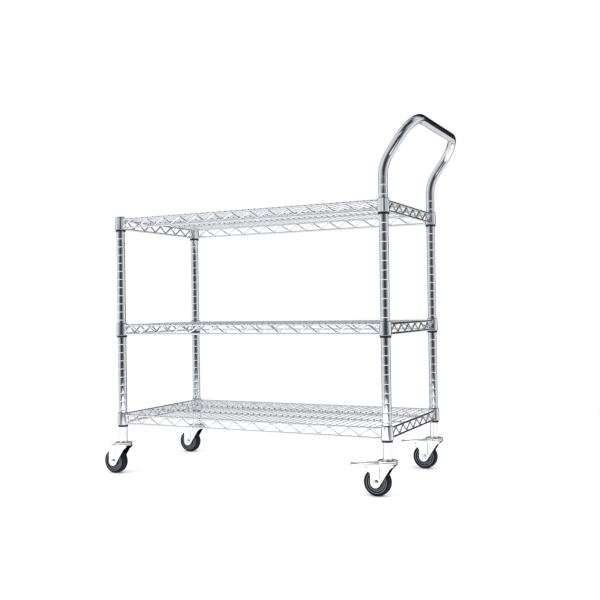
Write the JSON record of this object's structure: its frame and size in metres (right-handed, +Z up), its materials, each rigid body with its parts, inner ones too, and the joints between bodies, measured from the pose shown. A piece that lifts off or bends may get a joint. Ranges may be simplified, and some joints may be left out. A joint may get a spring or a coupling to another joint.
{
  "type": "wire shelf cart",
  "caption": "Chromed wire shelf cart: open wire decks clamped to round grooved posts, a bent tube push handle at one end, swivel casters and foot brakes.",
  "frame": {"origin": "centre of the footprint box of the whole cart, at floor level", "axes": "+X along the shelves towards the push handle, -Y towards the front long side, +Z up; the casters trail towards -X"},
  "size_m": [1.0421, 0.4746, 1.0271],
  "materials": {
    "chrome": "bright chrome plate",
    "zinc": "bright zinc plate",
    "black_plastic": "moulded",
    "grey_plastic": "moulded",
    "tyre": "matte rubber"
  },
  "bodies": {
    "cart": {"toe_front_post": "chrome", "toe_rear_post": "chrome", "handle_frame": "chrome", "toe_front_post_cap": "chrome", "toe_rear_post_cap": "chrome", "bottom_shelf": "chrome", "bottom_toe_front_sleeve_a": "black_plastic", "bottom_toe_front_sleeve_b": "black_plastic", "bottom_toe_rear_sleeve_a": "black_plastic", "bottom_toe_rear_sleeve_b": "black_plastic", "bottom_handle_front_sleeve_a": "black_plastic", "bottom_handle_front_sleeve_b": "black_plastic", "bottom_handle_rear_sleeve_a": "black_plastic", "bottom_handle_rear_sleeve_b": "black_plastic", "middle_shelf": "chrome", "middle_toe_front_sleeve_a": "black_plastic", "middle_toe_front_sleeve_b": "black_plastic", "middle_toe_rear_sleeve_a": "black_plastic", "middle_toe_rear_sleeve_b": "black_plastic", "middle_handle_front_sleeve_a": "black_plastic", "middle_handle_front_sleeve_b": "black_plastic", "middle_handle_rear_sleeve_a": "black_plastic", "middle_handle_rear_sleeve_b": "black_plastic", "top_shelf": "chrome", "top_toe_front_sleeve_a": "black_plastic", "top_toe_front_sleeve_b": "black_plastic", "top_toe_rear_sleeve_a": "black_plastic", "top_toe_rear_sleeve_b": "black_plastic", "top_handle_front_sleeve_a": "black_plastic", "top_handle_front_sleeve_b": "black_plastic", "top_handle_rear_sleeve_a": "black_plastic", "top_handle_rear_sleeve_b": "black_plastic", "toe_front_caster_stem": "zinc", "toe_rear_caster_stem": "zinc", "handle_front_caster_stem": "zinc", "handle_rear_caster_stem": "zinc"},
    "toe_front_swivel": {"toe_front_fork": "zinc", "toe_front_axle_bolt": "zinc", "toe_front_axle_nut": "zinc"},
    "toe_front_wheel": {"toe_front_wheel_hub": "grey_plastic", "toe_front_tyre": "tyre"},
    "toe_rear_swivel": {"toe_rear_fork": "zinc", "toe_rear_axle_bolt": "zinc", "toe_rear_axle_nut": "zinc"},
    "toe_rear_wheel": {"toe_rear_wheel_hub": "grey_plastic", "toe_rear_tyre": "tyre"},
    "handle_front_swivel": {"handle_front_fork": "zinc", "handle_front_axle_bolt": "zinc", "handle_front_axle_nut": "zinc", "handle_front_brake_pin": "zinc"},
    "handle_front_wheel": {"handle_front_wheel_hub": "grey_plastic", "handle_front_tyre": "tyre"},
    "handle_front_pedal": {"handle_front_brake_pedal": "zinc"},
    "handle_rear_swivel": {"handle_rear_fork": "zinc", "handle_rear_axle_bolt": "zinc", "handle_rear_axle_nut": "zinc", "handle_rear_brake_pin": "zinc"},
    "handle_rear_wheel": {"handle_rear_wheel_hub": "grey_plastic", "handle_rear_tyre": "tyre"},
    "handle_rear_pedal": {"handle_rear_brake_pedal": "zinc"}
  },
  "joints": [
    {"name": "toe_front_swivel_turn", "type": "hinge", "parent": "cart", "child": "toe_front_swivel", "pos_m": [-0.457, -0.2093, 0.085], "axis": [0, 0, 1], "continuous": true},
    {"name": "toe_front_wheel_spin", "type": "hinge", "parent": "toe_front_swivel", "child": "toe_front_wheel", "pos_m": [-0.486, -0.2093, 0.0375], "axis": [0, 1, 0], "continuous": true},
    {"name": "toe_rear_swivel_turn", "type": "hinge", "parent": "cart", "child": "toe_rear_swivel", "pos_m": [-0.457, 0.2093, 0.085], "axis": [0, 0, 1], "continuous": true},
    {"name": "toe_rear_wheel_spin", "type": "hinge", "parent": "toe_rear_swivel", "child": "toe_rear_wheel", "pos_m": [-0.486, 0.2093, 0.0375], "axis": [0, 1, 0], "continuous": true},
    {"name": "handle_front_swivel_turn", "type": "hinge", "parent": "cart", "child": "handle_front_swivel", "pos_m": [0.419, -0.2093, 0.085], "axis": [0, 0, 1], "continuous": true},
    {"name": "handle_front_wheel_spin", "type": "hinge", "parent": "handle_front_swivel", "child": "handle_front_wheel", "pos_m": [0.39, -0.2093, 0.0375], "axis": [0, 1, 0], "continuous": true},
    {"name": "handle_front_brake_press", "type": "hinge", "parent": "handle_front_swivel", "child": "handle_front_pedal", "pos_m": [0.363, -0.2093, 0.077], "axis": [0, -1, 0], "range_deg": [0, 12]},
    {"name": "handle_rear_swivel_turn", "type": "hinge", "parent": "cart", "child": "handle_rear_swivel", "pos_m": [0.419, 0.2093, 0.085], "axis": [0, 0, 1], "continuous": true},
    {"name": "handle_rear_wheel_spin", "type": "hinge", "parent": "handle_rear_swivel", "child": "handle_rear_wheel", "pos_m": [0.39, 0.2093, 0.0375], "axis": [0, 1, 0], "continuous": true},
    {"name": "handle_rear_brake_press", "type": "hinge", "parent": "handle_rear_swivel", "child": "handle_rear_pedal", "pos_m": [0.363, 0.2093, 0.077], "axis": [0, -1, 0], "range_deg": [0, 12]}
  ]
}
